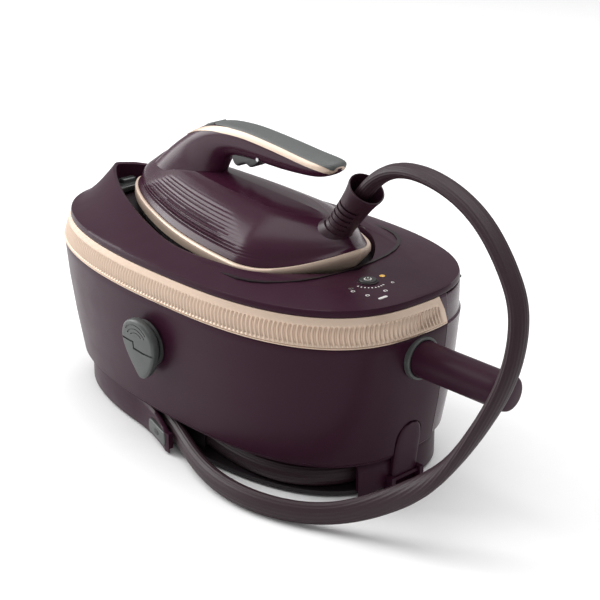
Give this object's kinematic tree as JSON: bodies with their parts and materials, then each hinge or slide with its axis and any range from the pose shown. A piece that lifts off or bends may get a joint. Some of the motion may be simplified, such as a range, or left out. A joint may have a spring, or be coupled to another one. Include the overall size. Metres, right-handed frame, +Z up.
{
  "type": "steam generator iron",
  "caption": "Steam generator iron: an oval base with ribbed trim band, docked hand iron with open-ended handle, oval steam hose, water tank, descaling knob and rear post.",
  "frame": {"origin": "centre of the footprint of the whole object without its hose, on the plane the rubber feet stand on", "axes": "+X runs from the nose end of the iron and base to the heel end with the rear post, -Y is the side with the descaling knob, +Z is up"},
  "size_m": [0.4689, 0.2113, 0.2372],
  "materials": {
    "tray_plastic": "satin",
    "shell_purple": "semi-gloss",
    "foot_rubber": "matte",
    "trim_gold": "metallic",
    "inner_plastic": "satin",
    "dock_dark": "satin",
    "mat_rubber": "matte",
    "touch_grey": "satin",
    "lens_amber": "gloss",
    "lens_dark": "gloss",
    "lens_white": "gloss",
    "boiler_steel": "brushed",
    "heater_metal": "cast",
    "inner_white": "satin",
    "pipe_plastic": "satin",
    "board_green": "satin",
    "hose_sleeve": "woven",
    "button_grey": "satin",
    "plug_metal": "brushed",
    "tank_purple": "semi-gloss",
    "sole_metal": "brushed",
    "iron_purple": "gloss",
    "grip_grey": "textured",
    "boot_rubber": "matte",
    "button_black": "satin"
  },
  "bodies": {
    "base": {"base_tray": "tray_plastic", "channel_skirt": "shell_purple", "rubber_feet": "foot_rubber", "lower_housing": "shell_purple", "trim_band": "trim_gold", "tank_bay": "inner_plastic", "upper_housing": "shell_purple", "dock_pan": "dock_dark", "dock_mat": "mat_rubber", "post_collar": "touch_grey", "storage_post": "shell_purple", "post_cap": "shell_purple", "control_fascia": "dock_dark", "power_ring": "touch_grey", "ready_lens": "lens_amber", "calc_lens": "lens_dark", "light_bar": "lens_white", "decalc_socket": "inner_plastic", "steam_boiler": "boiler_steel", "boiler_heater": "heater_metal", "boiler_thermostat": "inner_white", "solenoid_valve": "inner_plastic", "steam_pipe": "pipe_plastic", "water_pump": "inner_plastic", "feed_pipe": "pipe_plastic", "control_board": "board_green", "hose_outlet": "inner_plastic", "hose_lower": "hose_sleeve", "clip_bracket": "inner_plastic"},
    "tank": {"water_tank": "tank_purple", "tank_valve": "inner_white", "filler_cap": "touch_grey"},
    "power_key": {"power_button": "button_grey"},
    "carry_key": {"carry_lock": "touch_grey"},
    "hose_key": {"hose_latch": "touch_grey"},
    "rear_clip": {"rear_latch": "shell_purple"},
    "drain_plug": {"decalc_plug": "plug_metal"},
    "drain_knob": {"decalc_knob": "touch_grey"},
    "iron": {"soleplate": "sole_metal", "sole_trim": "trim_gold", "heater_block": "heater_metal", "iron_thermostat": "inner_white", "iron_housing": "iron_purple", "handle_core": "iron_purple", "handle_trim": "trim_gold", "handle_grip": "grip_grey", "hose_boot": "boot_rubber", "trigger_pin": "plug_metal", "hose_upper": "hose_sleeve"},
    "trigger": {"steam_trigger": "button_black"},
    "front_key": {"front_button": "button_black"}
  },
  "joints": [
    {"name": "iron_lift", "type": "slide", "parent": "base", "child": "iron", "axis": [0, 0, 1], "range_m": [0, 0.08]},
    {"name": "steam_trigger_pull", "type": "hinge", "parent": "iron", "child": "trigger", "pos_m": [-0.01344, 0.00509, 0.20963], "axis": [0, 1, 0], "range_deg": [0, 7], "stiffness_Nm_per_rad": 0.05, "springref_deg": -2.86},
    {"name": "front_key_press", "type": "slide", "parent": "iron", "child": "front_key", "axis": [-0.0576, 0, -0.9983], "range_m": [0, 0.0015], "stiffness_N_per_m": 400, "springref_m": -0.001},
    {"name": "power_key_press", "type": "slide", "parent": "base", "child": "power_key", "axis": [0, 0, -1], "range_m": [0, 0.0012], "stiffness_N_per_m": 400, "springref_m": -0.001},
    {"name": "carry_key_press", "type": "slide", "parent": "base", "child": "carry_key", "axis": [0, 0, -1], "range_m": [0, 0.0025], "stiffness_N_per_m": 300, "springref_m": -0.001},
    {"name": "hose_key_press", "type": "slide", "parent": "base", "child": "hose_key", "axis": [0.2756, 0.9613, 0], "range_m": [0, 0.0012], "stiffness_N_per_m": 300, "springref_m": -0.001},
    {"name": "rear_clip_turn", "type": "hinge", "parent": "base", "child": "rear_clip", "pos_m": [0.13105, 0.00509, 0.008], "axis": [0, 1, 0], "range_deg": [0, 12]},
    {"name": "drain_knob_turn", "type": "hinge", "parent": "drain_plug", "child": "drain_knob", "pos_m": [-0.03625, -0.08921, 0.085], "axis": [-0.0261, -0.9955, -0.0906], "range_deg": [0, 90]},
    {"name": "drain_plug_travel", "type": "slide", "parent": "base", "child": "drain_plug", "axis": [-0.0261, -0.9955, -0.0906], "range_m": [0, 0.004]},
    {"name": "tank_slide", "type": "slide", "parent": "base", "child": "tank", "axis": [0, 1, 0], "range_m": [0, 0.1]}
  ],
  "couplings": [
    {"joint": "drain_knob_turn", "follows": "drain_plug_travel", "rad_per_m": 392.7}
  ]
}
